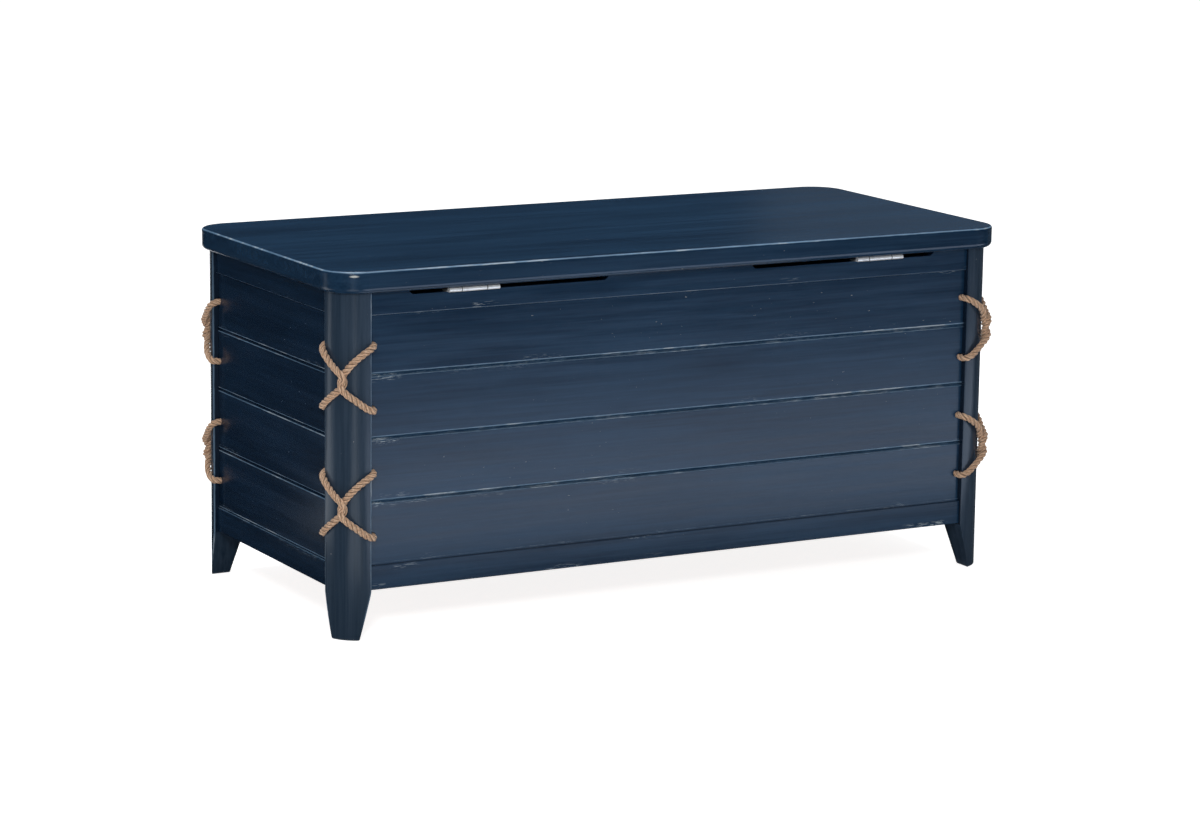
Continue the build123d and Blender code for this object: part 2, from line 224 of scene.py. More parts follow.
def blend(tree, share, first, second):
    """A colour share of the way from the first to the second."""
    return shader(
        tree, "ShaderNodeMix", {0: share, 6: first, 7: second}, out=2, data_type="RGBA"
    )


paint, given, gives = group_with(
    "rubbed_navy_paint",
    {
        "Grain": "Vector",
        "Arris": "Float",
        "Painted_shade": "Float",
        "Rub": "Float",
        "Scuff": "Float",
        "Painted_glint": "Float",
        "Light": "Color",
        "Dark": "Color",
    },
    {"Color": "Color", "Roughness": "Float", "Height": "Float"},
)
place, arris = given["Grain"], given["Arris"]
brushed = grain_noise(paint, place, (3.0, 75.0), 5.0, 0.62)
clouds = grain_noise(paint, place, (2.4, 11.0), 3.0)
fibres = grain_noise(paint, place, (22.0, 900.0), 3.0, 0.6)
patches = grain_noise(paint, place, (7.0, 14.0), 4.0, 0.6)
ragged = grain_noise(paint, place, (60.0, 420.0), 4.0, 0.7)
specks = grain_noise(paint, place, (150.0, 420.0), 2.0, 0.5)
bristles = grain_noise(paint, place, (8.0, 310.0), 3.0)
tone = calc(
    paint,
    "ADD",
    ramp(paint, brushed, 0.38, 0.64, 0.0, 0.42),
    ramp(paint, clouds, 0.35, 0.65, 0.0, 0.38),
    ramp(paint, bristles, 0.3, 0.7, 0.0, 0.30),
)
ragged_arris = calc(paint, "ADD", arris, calc(paint, "MULTIPLY", ragged, 0.0022))
edge = ramp(paint, ragged_arris, 0.0012, 0.0036, 1.0, 0.0)
worn = calc(paint, "MULTIPLY", edge, given["Rub"], ramp(paint, patches, 0.3, 0.6, 0.55, 1.0))
bare = calc(
    paint,
    "MULTIPLY",
    worn,
    ramp(paint, patches, 0.48, 0.60),
    ramp(paint, grain_noise(paint, place, (26.0, 90.0), 2.0), 0.47, 0.60),
)
fleck = calc(
    paint, "MULTIPLY", ramp(paint, specks, 0.735, 0.79), ramp(paint, patches, 0.5, 0.62)
)
scuffed = calc(
    paint,
    "MULTIPLY",
    ramp(paint, grain_noise(paint, place, (70.0, 900.0), 3.0, 0.6), 0.55, 0.61),
    ramp(paint, grain_noise(paint, place, (7.0, 17.0), 2.0), 0.56, 0.64),
    ramp(paint, arris, 0.002, 0.020, 1.0, 0.0),
    given["Scuff"],
)
# A painted highlight: a pale oval where a small dent on the lid's corner catches the light.
glint_mask = calc(paint, "MULTIPLY", given["Painted_glint"], ramp(paint, ragged, 0.30, 0.48, 0.3, 1.0))
in_shade, thinned, chalk = (0.004, 0.012, 0.028, 1), (0.16, 0.28, 0.42, 1), (0.58, 0.68, 0.74, 1)
ground, speck, glint_pale = (0.50, 0.56, 0.60, 1), (0.42, 0.45, 0.46, 1), (0.66, 0.68, 0.66, 1)
coat = blend(paint, tone, given["Dark"], given["Light"])
# The first mask is painted shade in recesses; the others are wear and marks, and the last is a
# painted highlight.
for mask, share, colour in (
    (given["Painted_shade"], 0.35, in_shade),
    (worn, 1.0, thinned),
    (scuffed, 0.8, chalk),
    (bare, 0.85, ground),
    (fleck, 0.7, speck),
    (glint_mask, 1.0, glint_pale),
):
    coat = blend(paint, calc(paint, "MULTIPLY", mask, share), coat, colour)
dullness = calc(
    paint, "ADD", ramp(paint, brushed, 0.3, 0.7, 0.19, 0.27), calc(paint, "MULTIPLY", worn, 0.15)
)
ridges = calc(paint, "MULTIPLY", calc(paint, "ADD", fibres, brushed), 0.5)
losses = calc(paint, "MULTIPLY", calc(paint, "ADD", edge, fleck), 0.8)
paint.links.new(coat, gives["Color"])
paint.links.new(dullness, gives["Roughness"])
paint.links.new(calc(paint, "SUBTRACT", ridges, losses), gives["Height"])
navy_dark, navy_light = (0.0035, 0.018, 0.045, 1), (0.011, 0.041, 0.090, 1)


def painted(
    name, axes, arris_of, dark=navy_dark, light=navy_light, rub=1.0, shift=None, relief=0.3
):
    """A painted finish. axes orders x, y and z with the grain's direction first, arris_of works
    out the distance to the nearest arris and the other masks, and shift moves the grain from
    board to board."""
    made = new_material(name)
    tree = made.node_tree
    place = shader(tree, "ShaderNodeTexCoord", out=3)
    parts = tree.nodes.new("ShaderNodeSeparateXYZ")
    tree.links.new(place, parts.inputs[0])
    x, y, z = parts.outputs
    ordered = [(x, y, z)["xyz".index(a)] for a in axes]
    if shift:
        moved = shift(tree, *ordered)
        ordered[0] = calc(tree, "ADD", ordered[0], moved)
        ordered[2] = calc(tree, "ADD", ordered[2], moved)
    grain = shader(tree, "ShaderNodeCombineXYZ", dict(enumerate(ordered)))
    coat = tree.nodes.new("ShaderNodeGroup")
    coat.node_tree = paint
    tree.links.new(grain, coat.inputs["Grain"])
    for socket, value in arris_of(tree, x, y, z).items():
        tree.links.new(value, coat.inputs[socket])
    coat.inputs["Rub"].default_value = rub
    coat.inputs["Dark"].default_value = dark
    coat.inputs["Light"].default_value = light
    bump = shader(
        tree,
        "ShaderNodeBump",
        {"Height": coat.outputs["Height"], "Strength": relief, "Distance": 0.0004},
    )
    skin = shader(
        tree,
        "ShaderNodeBsdfPrincipled",
        {
            "Base Color": coat.outputs["Color"],
            "Roughness": coat.outputs["Roughness"],
            "Normal": bump,
            "Specular IOR Level": 0.4,
        },
    )
    show(tree, skin)
    return made


def finish(material, *nodes):
    """Puts one material on CAD nodes."""
    for name in nodes:
        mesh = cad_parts[name].data
        mesh.materials.clear()
        mesh.materials.append(material)


# The lid. A jointed panel with strips under its rim that make it look thick, its corners cut
# to a round and both edges eased, rubbed pale all along the upper arris.
lid_half = (0.559, 0.258)
lid_corner = 0.052
upper_edge, lower_edge = (0.0012, 0.5288), (0.0023, 0.5003)
# Where the painted highlight sits on the lid's near corner, and how much flatter it is than wide.
lid_glint, glint_flatness = (0.529, 0.2531, 0.5235), 4.0


def apart(tree, *offs):
    """The distance that steps at right angles add up to, the root of their squares' sum."""
    return calc(tree, "SQRT", calc(tree, "ADD", *[calc(tree, "MULTIPLY", o, o) for o in offs]))


def lid_arris(tree, x, y, z):
    """The distance to the rim's two eased edges: that from the outline, a rectangle with round
    corners, and that from the edge's height, as the sides of a right angle. And one painted
    highlight on a corner, a flat oval, where a small dent catches the light."""
    outs = [
        calc(tree, "ADD", calc(tree, "SUBTRACT", calc(tree, "ABSOLUTE", along), half), lid_corner)
        for along, half in ((x, lid_half[0]), (y, lid_half[1]))
    ]
    corner = apart(tree, *[calc(tree, "MAXIMUM", out, 0.0) for out in outs])
    inside = calc(tree, "MINIMUM", calc(tree, "MAXIMUM", *outs), 0.0)
    outline = calc(tree, "SUBTRACT", calc(tree, "ADD", corner, inside), lid_corner)
    reaches = []
    for inset, height in (upper_edge, lower_edge):
        reach = apart(tree, calc(tree, "ADD", outline, inset), calc(tree, "SUBTRACT", z, height))
        reaches.append(calc(tree, "MULTIPLY", reach, 1.3))
    offs = [calc(tree, "SUBTRACT", along, at) for along, at in zip((x, y, z), lid_glint)]
    from_glint = apart(tree, offs[0], offs[1], calc(tree, "MULTIPLY", offs[2], glint_flatness))
    return {
        "Arris": calc(tree, "MINIMUM", reaches[0], calc(tree, "ADD", reaches[1], 0.0020)),
        "Painted_glint": ramp(tree, from_glint, 0.0030, 0.0085, 0.85, 0.0),
    }


finish(painted("lid_paint", "xyz", lid_arris), "lid_panel", "lid_edge_back", "lid_edge_front")
finish(painted("lid_end_paint", "yxz", lid_arris, relief=0.12), "lid_edge_left", "lid_edge_right")


# The corner posts. Square stock rounded outside to a quarter, tapered on both inner sides
# into a foot, with the arrises beside the boards rubbed.
post_inner = (0.4995, 0.1985)
post_outer = (0.5495, 0.2485)
foot_height = 0.071
foot_taper = 0.018
# How dark the painted shade is in the recesses beside the boards, on the posts' inner sides and at
# the boards' ends.
recess_shade = 2.8


def post_arris(tree, x, y, z):
    """The distance in plan to the two upright arrises, which lean outwards down the foot and
    are less rubbed on the far posts, and painted shade on the two inner sides, in the recess
    beside the boards."""
    lean = calc(
        tree,
        "MULTIPLY",
        calc(tree, "MAXIMUM", calc(tree, "SUBTRACT", foot_height, z), 0.0),
        foot_taper / foot_height,
    )
    inner = [
        ramp(tree, calc(tree, "ABSOLUTE", along), end + 0.0002, end + 0.0008, recess_shade, 0.0)
        for along, end in zip((x, y), post_inner)
    ]
    across, deep = calc(tree, "ABSOLUTE", x), calc(tree, "ABSOLUTE", y)
    reaches = []
    for ends in ((post_inner[0], post_outer[1]), (post_outer[0], post_inner[1])):
        lines = [calc(tree, "ADD", lean, end) if end in post_inner else end for end in ends]
        offs = [calc(tree, "SUBTRACT", a, b) for a, b in zip((across, deep), lines)]
        reaches.append(apart(tree, *offs))
    nearest = calc(tree, "MULTIPLY", calc(tree, "MINIMUM", *reaches), 0.9)
    return {
        "Arris": calc(tree, "ADD", nearest, ramp(tree, x, -0.1, 0.1, 0.0018, 0.0)),
        "Painted_shade": calc(tree, "MAXIMUM", *inner),
    }


corners = [f"{depth}_{hand}" for depth in ("back", "front") for hand in ("right", "left")]
post_dark, post_light = (0.013, 0.028, 0.050, 1), (0.034, 0.057, 0.092, 1)
finish(
    painted("post_paint", "zxy", post_arris, dark=post_dark, light=post_light, rub=0.75),
    *[f"post_{corner}" for corner in corners],
)


# The rails. One under the lid and one at the foot of each side, tenoned into the posts, each
# a little proud of the boards, with a rubbed edge towards them.
# The ends' paint is a darker copy of the navy: painted shade on the ends, which face away from the
# lamps.
shaded = {"dark": (0.0015, 0.0095, 0.026, 1), "light": (0.0052, 0.023, 0.056, 1), "relief": 0.1}
top_rail_bottom, bottom_rail_top = 0.465, 0.1067


def scuff_share(tree, x, y):
    """How much a point of a wall is scuffed: most near the posts, where it gets knocked."""
    ends = [
        ramp(tree, calc(tree, "ABSOLUTE", along), half - 0.14, half, 0.0, 1.0)
        for along, half in ((x, post_inner[0]), (y, post_inner[1]))
    ]
    return calc(tree, "ADD", calc(tree, "MULTIPLY", *ends, 0.8), 0.25)


def rail_arris(tree, x, y, z, stretch=1.8, scuffs=2.2, lower_spared=0.0022, edge_shade=1.1):
    """The distance in height to the nearest long edge of the rails, the lower edge of the top
    rail being the most rubbed, and painted shade on the upper edge of the bottom rail."""
    reaches = []
    for level, spared in (
        (top_rail_bottom, 0.0),
        (bottom_rail_top, lower_spared),
        (foot_height, 0.0015),
    ):
        off = calc(tree, "ABSOLUTE", calc(tree, "SUBTRACT", z, level))
        reaches.append(calc(tree, "ADD", calc(tree, "MULTIPLY", off, stretch), spared))
    # Painted shade along the round of the bottom rail's upper edge, which darkens its reflection.
    edge_start, edge_end = bottom_rail_top - 0.0022, bottom_rail_top - 0.0007
    on_bottom_rail = ramp(tree, z, 0.12, 0.13, 1.0, 0.0)
    return {
        "Arris": calc(tree, "MINIMUM", *reaches),
        "Painted_shade": calc(
            tree, "MULTIPLY", ramp(tree, z, edge_start, edge_end, 0.0, edge_shade), on_bottom_rail
        ),
        "Scuff": calc(tree, "MULTIPLY", scuff_share(tree, x, y), scuffs),
    }


def end_rail_arris(tree, x, y, z):
    """The same on the ends, where the rubbed edge is a thin line."""
    return rail_arris(tree, x, y, z, stretch=2.3, scuffs=0.4, lower_spared=0.0010, edge_shade=0.0)


finish(
    painted("long_rail_paint", "xyz", rail_arris, rub=0.6),
    *[f"{level}_rail_{side}" for side in ("back", "front") for level in ("top", "bottom")],
)
finish(
    painted("end_rail_paint", "yxz", end_rail_arris, rub=0.9, **shaded),
    *[f"{level}_rail_{side}" for side in ("left", "right") for level in ("top", "bottom")],
)


# The side boards. Four to a side, tongued and grooved into each other and let into the posts,
# with a V worked along every joint and its two arrises rubbed through.
first_joint, board_pitch, joint_half = 0.197775, 0.091075, 0.00275


def board_number(tree, along, outward, z):
    """Which board of its side a point is on, times a step that parts their grain."""
    count = calc(tree, "DIVIDE", calc(tree, "SUBTRACT", z, first_joint), board_pitch)
    step = calc(tree, "MULTIPLY", calc(tree, "FLOOR", count), 1.37)
    side = calc(tree, "MULTIPLY", calc(tree, "SIGN", outward), 3.1)
    return calc(tree, "ADD", step, side)


def board_arris(
    tree,
    x,
    y,
    z,
    upper_share=1.8,
    lower_share=2.2,
    spared=0.0008,
    scuffs=0.9,
    flank_light=0.0019,
    lowest=0.0016,
):
    """The distance in height to the arrises of the nearest V, each stretched by its share and
    less rubbed in the lowest joint; and painted shade deep in the V and in the seam beside
    the posts. The V's flanks count as lying a little way from an arris, which paints them a
    little lighter: a painted reflection where the groove hides the real one."""
    count = calc(tree, "DIVIDE", calc(tree, "SUBTRACT", z, first_joint), board_pitch)
    part = calc(tree, "SUBTRACT", count, calc(tree, "ROUND", count))
    rise = calc(tree, "MULTIPLY", part, board_pitch)
    upper = calc(tree, "ABSOLUTE", calc(tree, "SUBTRACT", rise, joint_half))
    lower = calc(tree, "ABSOLUTE", calc(tree, "ADD", rise, joint_half))
    upper = calc(tree, "MULTIPLY", upper, upper_share)
    lower = calc(tree, "ADD", calc(tree, "MULTIPLY", lower, lower_share), spared)
    off_middle = calc(tree, "ABSOLUTE", rise)
    inside = ramp(tree, off_middle, joint_half - 0.0006, joint_half, flank_light, 0.02)
    nearest = calc(tree, "MINIMUM", upper, lower, inside)
    joint_end, board_start = bottom_rail_top + 0.0053, bottom_rail_top + 0.0093
    # Painted shade in the bottom of the V and in the seams beside the posts.
    groove_shade = ramp(tree, off_middle, 0.0010, 0.0024, 0.15, 0.0)
    seams = []
    for along, end in ((x, post_inner[0]), (y, post_inner[1])):
        off = calc(tree, "SUBTRACT", end, calc(tree, "ABSOLUTE", along))
        seams.append(ramp(tree, off, 0.0008, 0.0022, recess_shade, 0.0))
    on_long_side = ramp(tree, calc(tree, "ABSOLUTE", y), 0.215, 0.216)
    seam = calc(
        tree,
        "ADD",
        calc(tree, "MULTIPLY", seams[0], on_long_side),
        calc(tree, "MULTIPLY", seams[1], calc(tree, "SUBTRACT", 1.0, on_long_side)),
    )
    return {
        "Arris": calc(tree, "ADD", nearest, ramp(tree, z, joint_end, board_start, lowest, 0.0)),
        "Painted_shade": calc(tree, "MAXIMUM", groove_shade, seam),
        "Scuff": calc(tree, "MULTIPLY", scuff_share(tree, x, y), scuffs),
    }


def end_board_arris(tree, x, y, z):
    """The same on the ends, where both arrises are rubbed alike and few knocks show."""
    return board_arris(
        tree,
        x,
        y,
        z,
        upper_share=2.7,
        lower_share=2.4,
        spared=0.0001,
        scuffs=0.3,
        flank_light=0.02,
        lowest=0.0,
    )


finish(
    painted("long_board_paint", "xyz", board_arris, rub=0.9, shift=board_number),
    *[f"board_{side}_{number}" for side in ("back", "front") for number in (1, 2, 3, 4)],
)
finish(
    painted("end_board_paint", "yxz", end_board_arris, rub=0.9, shift=board_number, **shaded),
    *[f"board_{side}_{number}" for side in ("left", "right") for number in (1, 2, 3, 4)],
)


# The cedar inside. Thin boards of red cedar, left bare for their smell, line the walls and
# the lid; the floor lies loose on cedar cleats with a batten across below it.
cedar, given, gives = group_with(
    "bare_cedar", {"Grain": "Vector"}, {"Color": "Color", "Roughness": "Float", "Height": "Float"}
)
split = cedar.nodes.new("ShaderNodeSeparateXYZ")
cedar.links.new(given["Grain"], split.inputs[0])
along, across, deep = split.outputs
across_face = calc(cedar, "MULTIPLY", calc(cedar, "ADD", across, deep), 6.5)
along_face = calc(cedar, "MULTIPLY", along, 2.4)
face = shader(cedar, "ShaderNodeCombineXYZ", {0: along_face, 1: across_face})
from_knot = shader(
    cedar, "ShaderNodeTexVoronoi", {"Vector": face, "Scale": 1.0}, voronoi_dimensions="2D"
)
wander = calc(
    cedar,
    "ADD",
    grain_noise(cedar, given["Grain"], (0.9, 9.0), 2.0),
    ramp(cedar, from_knot, 0.0, 0.30, 0.10, 0.0),
)
rings = calc(cedar, "SINE", calc(cedar, "MULTIPLY", wander, 105.0))
fine = grain_noise(cedar, given["Grain"], (18.0, 700.0), 3.0, 0.6)
streaks = grain_noise(cedar, given["Grain"], (1.2, 22.0), 3.0)
bands = ramp(cedar, rings, -0.2, 1.0)
early_wood, late_wood = (0.47, 0.195, 0.100, 1), (0.31, 0.105, 0.052, 1)
sapwood, pore, knot = (0.62, 0.39, 0.22, 1), (0.19, 0.06, 0.028, 1), (0.085, 0.024, 0.012, 1)
wood = blend(cedar, bands, early_wood, late_wood)
wood = blend(cedar, ramp(cedar, streaks, 0.52, 0.66), wood, sapwood)
wood = blend(cedar, ramp(cedar, fine, 0.35, 0.7, 0.0, 0.3), wood, pore)
wood = blend(cedar, ramp(cedar, from_knot, 0.022, 0.05, 0.9, 0.0), wood, knot)
ridges = calc(cedar, "ADD", calc(cedar, "MULTIPLY", fine, 0.7), calc(cedar, "MULTIPLY", bands, 0.3))
cedar.links.new(wood, gives["Color"])
cedar.links.new(ramp(cedar, fine, 0.3, 0.7, 0.5, 0.68), gives["Roughness"])
cedar.links.new(ridges, gives["Height"])


board_width, in_one_piece = 0.076, 5.0


def cedar_finish(name, axes, across, pitch=board_width):
    """Bare cedar. axes orders x, y and z with the grain first; across is the axis that the
    joints of its boards step along, a dark line and a small V every pitch."""
    made = new_material(name)
    tree = made.node_tree
    parts = tree.nodes.new("ShaderNodeSeparateXYZ")
    tree.links.new(shader(tree, "ShaderNodeTexCoord", out=3), parts.inputs[0])
    steps = calc(tree, "DIVIDE", parts.outputs["xyz".index(across)], pitch)
    board = calc(tree, "MULTIPLY", calc(tree, "FLOOR", steps), 2.13)
    ordered = [parts.outputs["xyz".index(a)] for a in axes]
    ordered[:2] = [calc(tree, "ADD", along, board) for along in ordered[:2]]
    grain = shader(tree, "ShaderNodeCombineXYZ", dict(enumerate(ordered)))
    wood = tree.nodes.new("ShaderNodeGroup")
    wood.node_tree = cedar
    tree.links.new(grain, wood.inputs["Grain"])
    off = calc(tree, "ABSOLUTE", calc(tree, "SUBTRACT", steps, calc(tree, "ROUND", steps)))
    joint = ramp(tree, calc(tree, "MULTIPLY", off, pitch), 0.0004, 0.0016, 1.0, 0.0)
    shadow = calc(tree, "MULTIPLY", joint, 0.8)
    colour = blend(tree, shadow, wood.outputs["Color"], (0.05, 0.018, 0.008, 1))
    height = calc(tree, "SUBTRACT", calc(tree, "MULTIPLY", wood.outputs["Height"], 0.2), joint)
    relief = shader(tree, "ShaderNodeBump", {"Height": height, "Strength": 0.6, "Distance": 0.0012})
    skin = shader(
        tree,
        "ShaderNodeBsdfPrincipled",
        {
            "Base Color": colour,
            "Roughness": wood.outputs["Roughness"],
            "Normal": relief,
            "Specular IOR Level": 0.3,
        },
    )
    show(tree, skin)
    return made


finish(cedar_finish("cedar_long_wall", "xyz", "z"), "lining_back", "lining_front")
finish(cedar_finish("cedar_end_wall", "yxz", "z"), "lining_left", "lining_right")
finish(cedar_finish("cedar_floor", "xyz", "y"), "floor_panel", "lid_lining")
finish(
    cedar_finish("cedar_long_strip", "xyz", "y", in_one_piece),
    "floor_cleat_back",
    "floor_cleat_front",
)
finish(
    cedar_finish("cedar_end_strip", "yxz", "x", in_one_piece),
    "floor_cleat_left",
    "floor_cleat_right",
    "floor_batten",
)


# The hinges. Pressed steel leaves with a satin nickel face, screwed to the back rail and the
# lid, whose three knuckles turn on a pin that grips by friction and holds the lid where it is.
pin_line = (0.2475, 0.4942)
knuckle_ends = (0.32, 0.36)


def satin_steel(name, colour, along, metal=1.0, joints=()):
    """Nickelled steel with fine brush lines along one axis, and dark where knuckles meet, at
    the given distances from the chest's middle."""
    made = new_material(name)
    tree = made.node_tree
    place = shader(tree, "ShaderNodeTexCoord", out=3)
    stretch = tuple(60.0 if axis == along else 2600.0 for axis in "xyz")
    scaled = shader(tree, "ShaderNodeVectorMath", {0: place, 1: stretch}, operation="MULTIPLY")
    lines = shader(tree, "ShaderNodeTexNoise", {"Vector": scaled, "Scale": 1.0, "Detail": 3.0})
    smudge = shader(tree, "ShaderNodeTexNoise", {"Vector": place, "Scale": 90.0, "Detail": 3.0})
    dulled = (*[0.72 * c for c in colour[:3]], 1)
    coat = blend(tree, ramp(tree, smudge, 0.45, 0.75), colour, dulled)
    if joints:
        split = tree.nodes.new("ShaderNodeSeparateXYZ")
        tree.links.new(place, split.inputs[0])
        from_middle = calc(tree, "ABSOLUTE", split.outputs[0])
        from_joints = [
            calc(tree, "ABSOLUTE", calc(tree, "SUBTRACT", from_middle, joint)) for joint in joints
        ]
        from_pin = [
            calc(tree, "ABSOLUTE", calc(tree, "SUBTRACT", along, pin))
            for along, pin in zip(list(split.outputs)[1:], pin_line)
        ]
        line = calc(
            tree,
            "MULTIPLY",
            ramp(tree, calc(tree, "MINIMUM", *from_joints), 0.0004, 0.0010, 0.8, 0.0),
            ramp(tree, calc(tree, "MAXIMUM", *from_pin), 0.0040, 0.0046, 1.0, 0.0),
        )
        coat = blend(tree, line, coat, (0.02, 0.02, 0.02, 1))
    rough = calc(
        tree, "ADD", ramp(tree, lines, 0.3, 0.7, 0.28, 0.42), ramp(tree, smudge, 0.4, 0.7, 0.0, 0.1)
    )
    relief = shader(tree, "ShaderNodeBump", {"Height": lines, "Strength": 0.25, "Distance": 0.0002})
    skin = shader(
        tree,
        "ShaderNodeBsdfPrincipled",
        {"Base Color": coat, "Metallic": metal, "Roughness": rough, "Normal": relief},
    )
    show(tree, skin)
    return made


finish(
    satin_steel("hinge_nickel", (0.90, 0.91, 0.91, 1), "x", 0.4, knuckle_ends),
    *[f"hinge_{hand}_{part}_leaf" for hand in ("left", "right") for part in ("chest", "lid")],
)
finish(satin_steel("pin_nickel", (0.66, 0.67, 0.68, 1), "x"), "hinge_pins")
finish(
    satin_steel("screw_nickel", (0.70, 0.70, 0.69, 1), "z"),
    "hinge_screws_chest",
    "hinge_screws_lid",
)


# The rope lacings. Two short lengths of three-strand jute rope at each place, hooked round
# one another over the rounded post, their ends pushed into holes in the side boards.
rope_thick = 0.0101
strand_lay = 0.025
strand_off, strand_half_height, strand_half_width = 0.25, 0.245, 0.285
ring_step, ring_points = 0.0009, 14
post_axis = (0.5015, 0.2005)
post_round = 0.048
lacing_middles = {"upper": 0.377425, "lower": 0.195275}


def round_the_post(angle, off, height):
    """A point off the post's round, at an angle from the rope's own side, in millimetres."""
    reach = 1000 * post_round + off
    turn = np.radians(angle)
    return (reach * np.cos(turn), reach * np.sin(turn), height)


end_side_route = np.array(
    [
        (27.8, -7.2, 45.5),
        (49.4, -7.6, 44.5),
        round_the_post(5, 5.4, 34.0),
        round_the_post(26, 6.5, 18.0),
        round_the_post(44, 13.8, 8.5),
        round_the_post(48.7, 7.4, -3.5),
        round_the_post(43, 4.4, -12.5),
        round_the_post(24, 5.6, -26.5),
        round_the_post(5, 5.4, -40.0),
        (49.4, -7.6, -46.8),
        (27.8, -7.2, -45.5),
    ]
)
long_side_route = np.array(
    [
        (27.8, -7.2, 45.5),
        (49.4, -7.6, 46.5),
        round_the_post(7, 6.5, 40.0),
        round_the_post(27, 9.5, 26.5),
        round_the_post(43, 4.4, 9.0),
        round_the_post(49.2, 6.4, -4.0),
        round_the_post(45, 13.8, -15.0),
        round_the_post(26, 7.5, -30.0),
        round_the_post(5, 5.4, -45.0),
        (49.4, -7.6, -47.8),
        (27.8, -7.2, -45.5),
    ]
)


def smooth_line(points):
    """The points of the smooth spline that a row of control points pulls after it."""
    curve = bpy.data.curves.new("line", "CURVE")
    curve.dimensions = "3D"
    spline = curve.splines.new("NURBS")
    spline.points.add(len(points) - 1)
    spline.points.foreach_set("co", np.c_[points, np.ones(len(points))].ravel())
    spline.order_u = 3
    spline.use_endpoint_u = True
    spline.resolution_u = 24
    holder = bpy.data.objects.new("line", curve)
    drawn = bpy.data.meshes.new_from_object(holder)
    line = np.zeros(len(drawn.vertices) * 3)
    drawn.vertices.foreach_get("co", line)
    bpy.data.objects.remove(holder)
    bpy.data.curves.remove(curve)
    bpy.data.meshes.remove(drawn)
    return line.reshape(-1, 3)


def even_steps(line, step):
    """The same line at even steps of its length, with that length at each point."""
    run = np.r_[0, np.cumsum(np.linalg.norm(np.diff(line, axis=0), axis=1))]
    at = np.linspace(0, run[-1], int(run[-1] / step) + 1)
    return np.stack([np.interp(at, run, line[:, i]) for i in range(3)], axis=1), at


def unit(vectors):
    """The vectors, each made one long."""
    return vectors / np.linalg.norm(vectors, axis=-1, keepdims=True)


def twisted_rope(name, line):
    """Three strands laid round a line. A strand's middle goes round the line on a circle once
    every lay of its length, a third of a turn from the next, and each ring of the strand is an
    oval about that middle. Loose fibres are thin cones that leave its surface and curl."""
    line, at = even_steps(line, ring_step)
    ahead = unit(np.gradient(line, axis=0))
    out = unit(np.cross((0.0, 0.0, 1.0), ahead))
    up = np.cross(ahead, out)
    sway = np.random.default_rng(seed_of(name))
    turn = 2 * np.pi * at / strand_lay
    around = np.linspace(0, 2 * np.pi, ring_points, endpoint=False)
    points, faces, maps = [], [], []
    for strand in range(3):
        angle = turn + strand * 2 * np.pi / 3 + 0.12 * np.sin(at * 90 + sway.uniform(0, 6))
        swell = 1 + 0.05 * np.sin(at * 160 + sway.uniform(0, 6))
        away = np.cos(angle)[:, None] * out + np.sin(angle)[:, None] * up
        beside = -np.sin(angle)[:, None] * out + np.cos(angle)[:, None] * up
        middle = line + strand_off * rope_thick * away
        size = (rope_thick * swell)[:, None, None]
        rise = strand_half_height * size * np.cos(around)[None, :, None] * away[:, None]
        reach = strand_half_width * size * np.sin(around)[None, :, None] * beside[:, None]
        points.append((middle[:, None] + rise + reach).reshape(-1, 3))
        faces += tube_faces(len(line), ring_points, strand * len(line) * ring_points)
        u, v = np.broadcast_arrays(around[None] / (2 * np.pi), at[:, None] / 0.01 + strand)
        maps.append(np.stack((u, v), -1).reshape(-1, 2))
    hairs, hair_faces = loose_fibres(line, ahead, out, up, sway, 3 * len(line) * ring_points)
    points.append(hairs)
    maps.append(np.tile((0.5, 0.5), (len(hairs), 1)))
    return np.concatenate(points), faces + hair_faces, np.concatenate(maps)


def loose_fibres(line, ahead, out, up, sway, start, count=260):
    """Thin cones with three sides. Each leaves the rope's surface at some point and angle,
    runs mostly along it, and bends away by the square of the distance gone."""
    where = sway.integers(4, len(line) - 4, count)
    angle = sway.uniform(0, 2 * np.pi, count)[:, None]
    away = np.cos(angle) * out[where] + np.sin(angle) * up[where]
    beside = -np.sin(angle) * out[where] + np.cos(angle) * up[where]
    root = line[where] + away * rope_thick * sway.uniform(0.40, 0.50, count)[:, None]
    aim = unit(
        ahead[where] * sway.choice((-1, 1), count)[:, None]
        + away * sway.uniform(0.1, 0.6, count)[:, None]
        + beside * sway.uniform(-0.6, 0.6, count)[:, None]
    )
    reach = sway.uniform(0.0015, 0.0042, count)[:, None, None]
    gone = np.array((0.0, 0.45, 0.8, 1.0))[None, :, None]
    bent = sway.uniform(-0.35, 0.35, count)[:, None, None] * away[:, None]
    spine = root[:, None] + reach * (gone * aim[:, None] + gone**2 * bent)
    corner = np.radians((0, 120, 240))[None, None, :, None]
    thin = 0.00009 * np.array((1.0, 0.8, 0.5, 0.05))[None, :, None, None]
    first = unit(np.cross(aim, away))[:, None, None]
    second = np.cross(aim, first[:, 0, 0])[:, None, None]
    points = spine[:, :, None] + thin * (np.cos(corner) * first + np.sin(corner) * second)
    base = start + 12 * np.arange(count)[:, None, None] + 3 * np.arange(3)[None, :, None]
    step = np.arange(3)[None, None]
    after = (step + 1) % 3
    sides = np.stack([base + step, base + after, base + 3 + after, base + 3 + step], -1)
    return points.reshape(-1, 3), sides.reshape(-1, 4).tolist()


def seed_of(name):
    """A number from a name, the same every time: the sum of its letters' codes, each times
    its place in the name plus two."""
    return sum((i + 3) * ord(c) for i, c in enumerate(name))


def tube_faces(rings, sides, start):
    """The four-cornered faces between each ring and the next, and a cap at either end."""
    ring, step = np.meshgrid(np.arange(rings - 1), np.arange(sides), indexing="ij")
    near, far = ring * sides + start, (ring + 1) * sides + start
    after = (step + 1) % sides
    quads = np.stack([near + step, near + after, far + after, far + step], -1).reshape(-1, 4)
    caps = [
        list(range(start + sides - 1, start - 1, -1)),
        list(range(start + (rings - 1) * sides, start + rings * sides)),
    ]
    return quads.tolist() + caps


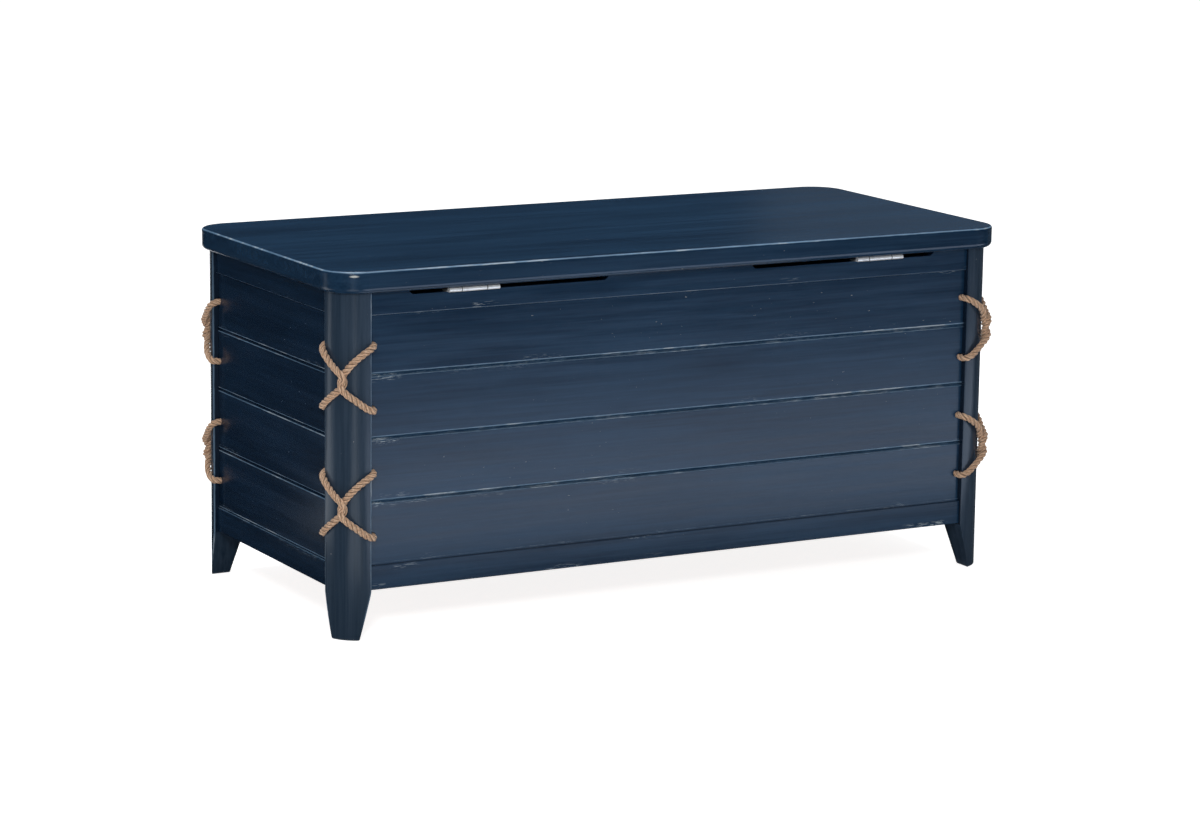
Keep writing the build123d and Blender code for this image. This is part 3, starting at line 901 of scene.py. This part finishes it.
def mesh_piece(name, points, faces, material, point_map):
    """A smooth-faced object from points and faces, already in its place. point_map gives each
    point's place in the material's lay."""
    mesh = bpy.data.meshes.new(name)
    mesh.from_pydata(points.tolist(), [], faces)
    mesh.polygons.foreach_set("use_smooth", [True] * len(mesh.polygons))
    point_of = np.zeros(len(mesh.loops), int)
    mesh.loops.foreach_get("vertex_index", point_of)
    mesh.uv_layers.new(name="lay").data.foreach_set("uv", point_map[point_of].ravel())
    mesh.materials.append(material)
    made = bpy.data.objects.new(name, mesh)
    bpy.context.scene.collection.objects.link(made)
    return made


def jute():
    """Jute yarn: pale tan fibres that run round the strand, with painted shade between the yarns
    and in the lay's valleys between the strands.
    """
    made = new_material("jute_yarn")
    tree = made.node_tree
    lay = shader(tree, "ShaderNodeUVMap", uv_map="lay")
    parts = tree.nodes.new("ShaderNodeSeparateXYZ")
    tree.links.new(lay, parts.inputs[0])
    u, v = parts.outputs[0], parts.outputs[1]
    slant = calc(tree, "ADD", calc(tree, "MULTIPLY", u, 5.0), calc(tree, "MULTIPLY", v, 1.6))
    yarns = calc(tree, "ABSOLUTE", calc(tree, "SINE", calc(tree, "MULTIPLY", slant, np.pi)))
    place = shader(tree, "ShaderNodeTexCoord", out=3)
    mottled = shader(tree, "ShaderNodeTexNoise", {"Vector": place, "Scale": 260.0, "Detail": 4.0})
    drawn_out = {0: calc(tree, "MULTIPLY", slant, 6.0), 1: calc(tree, "MULTIPLY", v, 0.9), 2: 0.0}
    threads = shader(
        tree,
        "ShaderNodeTexNoise",
        {
            "Vector": shader(tree, "ShaderNodeCombineXYZ", drawn_out),
            "Scale": 1.6,
            "Detail": 4.0,
        },
    )
    turned_in = calc(tree, "COSINE", calc(tree, "MULTIPLY", u, 2 * np.pi))
    brown, tan, straw = (0.50, 0.28, 0.16, 1), (0.92, 0.62, 0.42, 1), (0.95, 0.72, 0.53, 1)
    yarn_gap_shade, strand_gap_shade = (0.20, 0.11, 0.06, 1), (0.10, 0.05, 0.028, 1)
    colour = blend(tree, ramp(tree, threads, 0.3, 0.7), brown, tan)
    colour = blend(tree, ramp(tree, mottled, 0.4, 0.75, 0.0, 0.6), colour, straw)
    # Painted shade between the yarns and in the valleys between the strands.
    colour = blend(tree, ramp(tree, yarns, 0.0, 0.5, 0.45, 0.0), colour, yarn_gap_shade)
    colour = blend(tree, ramp(tree, turned_in, -0.2, 0.4, 0.6, 0.0), colour, strand_gap_shade)
    height = calc(tree, "ADD", yarns, calc(tree, "MULTIPLY", threads, 0.8))
    relief = shader(tree, "ShaderNodeBump", {"Height": height, "Strength": 0.8, "Distance": 0.0006})
    skin = shader(
        tree,
        "ShaderNodeBsdfPrincipled",
        {
            "Base Color": colour,
            "Roughness": 0.85,
            "Normal": relief,
            "Specular IOR Level": 0.2,
            "Sheen Weight": 0.25,
            "Sheen Roughness": 0.5,
        },
    )
    show(tree, skin)
    return made


jute_yarn = jute()
for corner in corners:
    depth, hand = corner.split("_")
    signs = np.array([1 if hand == "right" else -1, 1 if depth == "back" else -1, 1])
    for level, middle in lacing_middles.items():
        for which, route in (("end", end_side_route), ("long", long_side_route[:, [1, 0, 2]])):
            controls = (route / 1000 + (*post_axis, middle)) * signs
            line = smooth_line(controls)
            name = f"rope_{corner}_{level}_{which}_side"
            points, faces, point_map = twisted_rope(name, line)
            rope = mesh_piece(name, points, faces, jute_yarn, point_map)
            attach(rope, "chest")
            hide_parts(f"lacing_{corner}_{level}")
